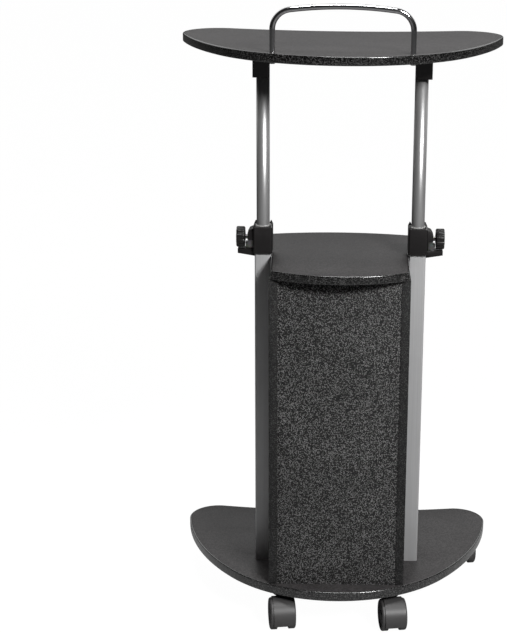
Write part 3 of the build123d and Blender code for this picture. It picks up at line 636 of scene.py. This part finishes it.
# ---- loop bar ----------------------------------------------------------------------------------
@dataclass(frozen=True)
class LoopBar:
    """The bright rod bent into a low arch over the audience edge."""

    leg_top: float = 1119 * MM
    corner_radius: float = 34 * MM
    corner_degrees: float = 82.6
    segments: int = 40
    corner_steps: int = 20
    crown_steps: int = 24

    def build(self) -> None:
        """Sweeps the rod along its line."""
        low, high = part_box("loop_bar")
        radius = (high.y - low.y) / 2
        leg_x, y = high.x - radius, (low.y + high.y) / 2
        half = self._half(leg_x, low.z)
        line = [((-x, z), (tx, -tz)) for (x, z), (tx, tz) in half] + half[-2::-1]
        mesh = bmesh.new()
        rings = []
        for (x, z), (tx, tz) in line:
            across = Vector((tz, 0, -tx))
            ring = []
            for i in range(self.segments):
                a = 2 * pi * i / self.segments
                out = cos(a) * across + sin(a) * Vector((0, 1, 0))
                ring.append(mesh.verts.new(Vector((x, y, z)) + radius * out))
            rings.append(ring)
        bridge(mesh, rings, closed=False)
        finished(mesh, "loop_rod", Finish.ROD, "top", "loop_bar")

    def _half(self, leg_x: float, bottom: float) -> list[tuple[Pair, Pair]]:
        """The +X half of the line, from the foot up to the middle: points, and tangents towards +X."""
        turn = radians(self.corner_degrees)
        centre_x = leg_x - self.corner_radius
        found = [((leg_x, bottom), (0.0, -1.0)), ((leg_x, self.leg_top), (0.0, -1.0))]
        for i in range(1, self.corner_steps + 1):
            a = turn * i / self.corner_steps
            point = (centre_x + self.corner_radius * cos(a), self.leg_top + self.corner_radius * sin(a))
            found.append((point, (sin(a), -cos(a))))
        end_x, end_z = found[-1][0]
        rest = pi / 2 - turn
        crown = end_x / sin(rest)
        for i in range(1, self.crown_steps + 1):
            a = rest * (1 - i / self.crown_steps)
            found.append(((crown * sin(a), end_z + crown * (cos(a) - cos(rest))), (cos(a), -sin(a))))
        return found


# ---- knobs -------------------------------------------------------------------------------------
@dataclass(frozen=True)
class Knobs:
    """Lobed clamp knobs with crowned edges, a dished face and a neck."""

    radius: float = 19.2 * MM
    lobes: int = 10
    lobe_depth: float = 1.9 * MM
    crown: float = 2.2 * MM
    neck: float = 0.8 * MM
    neck_radius: float = 8.5 * MM
    dish_radius: float = 11.0 * MM
    dish_depth: float = 1.4 * MM
    bore_radius: float = 3 * MM
    segments: int = 160

    def build(self) -> None:
        """Makes both knobs."""
        for side_name, side in SIDES.items():
            low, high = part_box(f"knob_{side_name}")
            inner, outer = (low.x, high.x) if side > 0 else (high.x, low.x)
            pad_low, pad_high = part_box(f"clamp_pad_{side_name}")
            axis_y, axis_z = (pad_low.y + pad_high.y) / 2, (pad_low.z + pad_high.z) / 2
            rings = self._rings(self.neck, abs(outer - inner) - self.neck)
            mesh = bmesh.new()
            loops = []
            for along, reach, lobed in rings:
                loop = []
                for i in range(self.segments):
                    a = 2 * pi * i / self.segments
                    r = reach - (self._flute(a) if lobed else 0.0)
                    point = (inner + side * along, axis_y + r * cos(a), axis_z + r * sin(a))
                    loop.append(mesh.verts.new(point))
                loops.append(loop)
            bridge(mesh, loops, closed=False)
            knob = f"knob_{side_name}"
            finished(mesh, f"knob_ribbed_{side_name}", Finish.KNOB, knob, knob)

    def _flute(self, angle: float) -> float:
        """Depth of the finger flutes at an angle round the knob."""
        return self.lobe_depth * (0.5 + 0.5 * cos(self.lobes * angle)) ** 1.6

    def _rings(self, neck: float, width: float) -> list[tuple[float, float, bool]]:
        """Rings along the axis: distance, radius, and whether the flutes show there."""
        r, c, face = self.radius, self.crown, neck + width
        angles = [radians(18 * i) for i in range(6)]
        rise = [(neck + c - c * cos(a), r - c + c * sin(a)) for a in angles]
        fall = [(face - c + c * sin(a), r - c + c * cos(a)) for a in angles]
        dish = [
            (face, self.dish_radius + 1.2 * MM), (face - 0.3 * MM, self.dish_radius + 0.3 * MM),
            (face - self.dish_depth, self.dish_radius - 0.6 * MM), (face - self.dish_depth, self.bore_radius),
        ]
        stem = [
            (0.0, self.bore_radius), (0.0, self.neck_radius - 0.5 * MM), (0.5 * MM, self.neck_radius),
            (neck, self.neck_radius), (neck, self.neck_radius + 0.8 * MM),
        ]
        sections = ((stem, False), (rise + fall, True), (dish, False))
        return [(*ring, lobed) for rings, lobed in sections for ring in rings]


# ---- casters -----------------------------------------------------------------------------------
@dataclass(frozen=True)
class Casters:
    """Hoods, and twin wheels with crowned treads, dished sides and hub caps."""

    radius: float = 30 * MM
    inner_face: float = 10.8 * MM
    outer_face: float = 23.8 * MM
    shoulder: float = 3.4 * MM
    dish_radius: float = 23.6 * MM
    dish_depth: float = 1.6 * MM
    cap_radius: float = 8.6 * MM
    bore_radius: float = 3.1 * MM
    bore_end: float = 19.8 * MM
    hood_bevel: float = 0.6 * MM
    segments: int = 120

    def build(self) -> None:
        """Makes the four hoods and the eight wheels."""
        for caster in CASTER_NAMES:
            self._hood(caster)
            low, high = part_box(f"caster_axle_{caster}")
            hub = (low + high) / 2
            for side_name, side in SIDES.items():
                wheel_low, wheel_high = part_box(f"caster_wheel_{caster}_{side_name}")
                aim = ((wheel_low + wheel_high) / 2 - hub).normalized()
                seat = Matrix.Translation(hub) @ aim.to_track_quat("Z", "Y").to_matrix().to_4x4()
                name = f"wheel_{caster}_{side_name}"
                mesh = lathe(self._profile(), seat, self.segments)
                finished(mesh, f"{name}_rim", Finish.SHELL, name, f"caster_wheel_{caster}_{side_name}")

    def _hood(self, caster: str) -> None:
        """Copies a hood without the loose sliver that its CAD solid has below the floor."""
        mesh = bmesh.new()
        mesh.from_mesh(cad_node(f"caster_hood_{caster}").data)
        bmesh.ops.remove_doubles(mesh, verts=mesh.verts, dist=WELD)
        sliver = [v for v in mesh.verts if v.co.z < 1 * MM]
        bmesh.ops.delete(mesh, geom=sliver, context="VERTS")
        name, body, node = f"hood_{caster}", f"caster_{caster}", f"caster_hood_{caster}"
        soften(finished(mesh, name, Finish.SHELL, body, node), self.hood_bevel)

    def _profile(self) -> list[Pair]:
        """The wheel's section: (along the axle from the middle, radius)."""
        r, s, out, inner = self.radius, self.shoulder, self.outer_face, self.inner_face
        bore = [(inner, self.bore_radius), (inner, r - 6 * MM), (inner + 2 * MM, r - 5 * MM)]
        groove = [(inner + 2 * MM, r - 3.5 * MM), (inner, r - 2.5 * MM)]
        tread = arc_points((inner + 0.9 * MM, r - 0.9 * MM), 0.9 * MM, 180, 90, 4)
        crown = arc_points((out - s, r - s), s, 90, 0, 8)
        dish = arc_points((out - 0.8 * MM, self.dish_radius + 0.8 * MM), 0.8 * MM, 0, -90, 3)
        floor = [
            (out - self.dish_depth, self.dish_radius - 0.6 * MM),
            (out - self.dish_depth, self.cap_radius + 1.0 * MM),
        ]
        cap = arc_points((out - 0.8 * MM, self.cap_radius - 0.4 * MM), 0.8 * MM, 90, 0, 4)
        shut = [
            (out + 0.2 * MM, 4 * MM), (out + 0.25 * MM, 0.2 * MM),
            (self.bore_end, 0.2 * MM), (self.bore_end, self.bore_radius),
        ]
        return bore + groove + tread + crown + dish + floor + cap + shut


# ---- studio ------------------------------------------------------------------------------------
@dataclass(frozen=True)
class Softbox:
    """A rectangular area light, aimed at the lectern's middle."""

    name: str
    place: Point
    size: Pair
    watts: float
    target: Point = (0.0, 0.0, 0.5)

    def build(self) -> None:
        """Makes the light."""
        data = bpy.data.lights.new(self.name, "AREA")
        data.shape = "RECTANGLE"
        data.size, data.size_y = self.size
        data.energy = self.watts
        light = bpy.data.objects.new(self.name, data)
        bpy.context.scene.collection.objects.link(light)
        light.location = self.place
        light.rotation_mode = "QUATERNION"
        light.rotation_quaternion = (Vector(self.target) - Vector(self.place)).to_track_quat("-Z", "Y")


@dataclass(frozen=True)
class Studio:
    """Camera, pale floor and soft lights."""

    eye: Point = (0.0, -2.928, 1.472)
    pitch: float = 17.19
    yaw: float = -0.16
    roll: float = 0.7
    lens: float = 92.8
    sensor: float = 36.0
    shift_x: float = -0.1288
    floor_reach: float = 14.0
    sheet: Pair = (0.7, 1.2)
    sheet_grey: Rgb = (0.3, 0.3, 0.3)
    floor_grey: Rgb = (0.08, 0.08, 0.08)
    floor_glow: float = 1.2
    glow_share: float = 0.82
    room_light: float = 0.016
    backdrop_light: float = 1.0
    backdrop_white: float = 1.05
    backdrop_side: Pair = (0.2, 0.6)
    backdrop_foot: Pair = (0.0, 0.5)
    backdrop_head: Pair = (0.8, 0.95)
    softboxes: tuple[Softbox, ...] = (
        Softbox("key_softbox", (2.87, -4.96, 4.56), (1.5, 1.5), 480.0),
        Softbox("overhead_softbox", (0.0, -1.3, 8.0), (2.6, 1.3), 240.0),
    )

    def build(self) -> None:
        """Makes everything that isn't the lectern."""
        self._camera()
        self._floor()
        self._world()
        for softbox in self.softboxes:
            softbox.build()
        bpy.context.scene.view_settings.view_transform = "Standard"
        bpy.context.scene.view_settings.look = "None"

    def _camera(self) -> None:
        """The camera, square on to the audience side and looking a little down."""
        data = bpy.data.cameras.new("camera")
        data.lens = self.lens
        data.sensor_width = self.sensor
        data.shift_x = self.shift_x
        camera = bpy.data.objects.new("camera", data)
        bpy.context.scene.collection.objects.link(camera)
        turn = Matrix.Rotation(radians(-self.yaw), 4, "Z")
        tip = Matrix.Rotation(radians(90 - self.pitch), 4, "X")
        lean = Matrix.Rotation(radians(self.roll), 4, "Z")
        camera.matrix_world = Matrix.Translation(self.eye) @ turn @ tip @ lean
        bpy.context.scene.camera = camera

    def _floor(self) -> None:
        """A wide floor, white to the camera; the sheet under the lectern throws more light back."""
        mesh = bpy.data.meshes.new("floor")
        reach = self.floor_reach
        corners = [(-reach, -reach, 0), (reach, -reach, 0), (reach, reach, 0), (-reach, reach, 0)]
        mesh.from_pydata(corners, [], [(0, 1, 2, 3)])
        floor = bpy.data.objects.new("floor", mesh)
        bpy.context.scene.collection.objects.link(floor)
        graph = Graph("floor_white")
        away = graph.node("ShaderNodeVectorMath", {"operation": "LENGTH"}, {0: graph.place()}, "Value")
        grey = graph.blend(away.between(*self.sheet), self.sheet_grey, self.floor_grey)
        graph.surface(Base_Color=grey, Roughness=0.9)
        tree = graph.tree
        glow = tree.nodes.new("ShaderNodeEmission")
        glow.inputs["Strength"].default_value = self.floor_glow
        seen = graph.node("ShaderNodeLightPath", {}, {}, "Is Camera Ray") * self.glow_share
        mix = tree.nodes.new("ShaderNodeMixShader")
        tree.links.new(seen.socket, mix.inputs[0])
        tree.links.new(graph.shader.outputs[0], mix.inputs[1])
        tree.links.new(glow.outputs[0], mix.inputs[2])
        tree.links.new(mix.outputs[0], tree.nodes["Material Output"].inputs["Surface"])
        mesh.materials.append(graph.material)

    def _world(self) -> None:
        """A dim room with a lit backdrop behind the lectern, white where the camera sees it."""
        world = bpy.data.worlds.new("studio")
        bpy.context.scene.world = world
        world.use_nodes = True
        tree = world.node_tree
        room = tree.nodes["Background"]
        room.inputs["Color"].default_value = (1.0, 1.0, 1.0, 1.0)
        graph = Graph.over(tree)
        towards = graph.node("ShaderNodeTexCoord", {}, {}, "Generated")
        behind = graph.along(towards, "Y").between(*self.backdrop_side)
        height = graph.along(towards, "Z")
        band = behind * height.between(*self.backdrop_foot) * (1.0 - height.between(*self.backdrop_head))
        glow = self.room_light + self.backdrop_light * band
        tree.links.new(glow.socket, room.inputs["Strength"])
        white = tree.nodes.new("ShaderNodeBackground")
        white.inputs["Color"].default_value = (1.0, 1.0, 1.0, 1.0)
        white.inputs["Strength"].default_value = self.backdrop_white
        ray = tree.nodes.new("ShaderNodeLightPath")
        mix = tree.nodes.new("ShaderNodeMixShader")
        tree.links.new(ray.outputs["Is Camera Ray"], mix.inputs[0])
        tree.links.new(room.outputs[0], mix.inputs[1])
        tree.links.new(white.outputs[0], mix.inputs[2])
        tree.links.new(mix.outputs[0], tree.nodes["World Output"].inputs["Surface"])


# ---- carried-over nodes ------------------------------------------------------------------------
def dress_frame() -> None:
    """Gives every CAD node that still shows its finish."""
    dress(["base_board", "top_board", "mid_shelf"], Finish.BOARD, 0.3 * MM)
    dress(["front_panel", "inner_shelf", "back_rail"], Finish.PANEL, 0.4 * MM)
    dress(both("side_panel"), Finish.SIDE, 0.4 * MM)
    dress(both("post"), Finish.POST, 0.4 * MM)
    dress(both("tube"), Finish.TUBE)
    dress([*both("collar"), *both("top_bracket")], Finish.MOULDED, 0.7 * MM)
    dress([*both("tube_guide"), "post_feet"], Finish.MOULDED, 0.3 * MM)
    dress([*both("guide_bush"), *both("clamp_pad")], Finish.ACETAL, 0.3 * MM)
    dress([*both("knob_stud"), "clamp_nuts", "shelf_pins"], Finish.ZINC, 0.2 * MM)
    dress(["post_bolts", "post_screws"], Finish.ZINC, 0.2 * MM)
    dress(["panel_screws", "caster_screws", "bracket_screws", "tube_screws", "loop_screws"], Finish.ZINC)
    dress(["caster_plates"], Finish.ZINC, 0.3 * MM)
    dress(["shelf_dowels"], Finish.DOWEL, 0.3 * MM)
    dress([f"caster_axle_{caster}" for caster in CASTER_NAMES], Finish.ZINC, 0.2 * MM)
    dress([f"brake_lever_{c}" for c in CASTER_NAMES if c.startswith("rear")], Finish.SHELL, 0.4 * MM)


def main() -> None:
    """Builds the lectern's looks and the studio round them."""
    logging.basicConfig(level=logging.INFO, format="%(name)s %(message)s")
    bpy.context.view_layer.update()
    dress_frame()
    for assembly in (EdgeBands(), LoopBar(), Knobs(), Casters(), Studio()):
        assembly.build()
        log.info("%s done", type(assembly).__name__)


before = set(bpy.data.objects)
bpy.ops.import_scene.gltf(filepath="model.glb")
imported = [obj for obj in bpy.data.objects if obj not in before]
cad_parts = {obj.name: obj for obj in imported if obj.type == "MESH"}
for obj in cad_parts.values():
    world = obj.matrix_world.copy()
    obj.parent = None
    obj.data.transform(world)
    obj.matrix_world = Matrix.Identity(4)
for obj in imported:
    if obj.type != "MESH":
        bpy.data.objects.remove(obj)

if __name__ == "__main__":
    main()
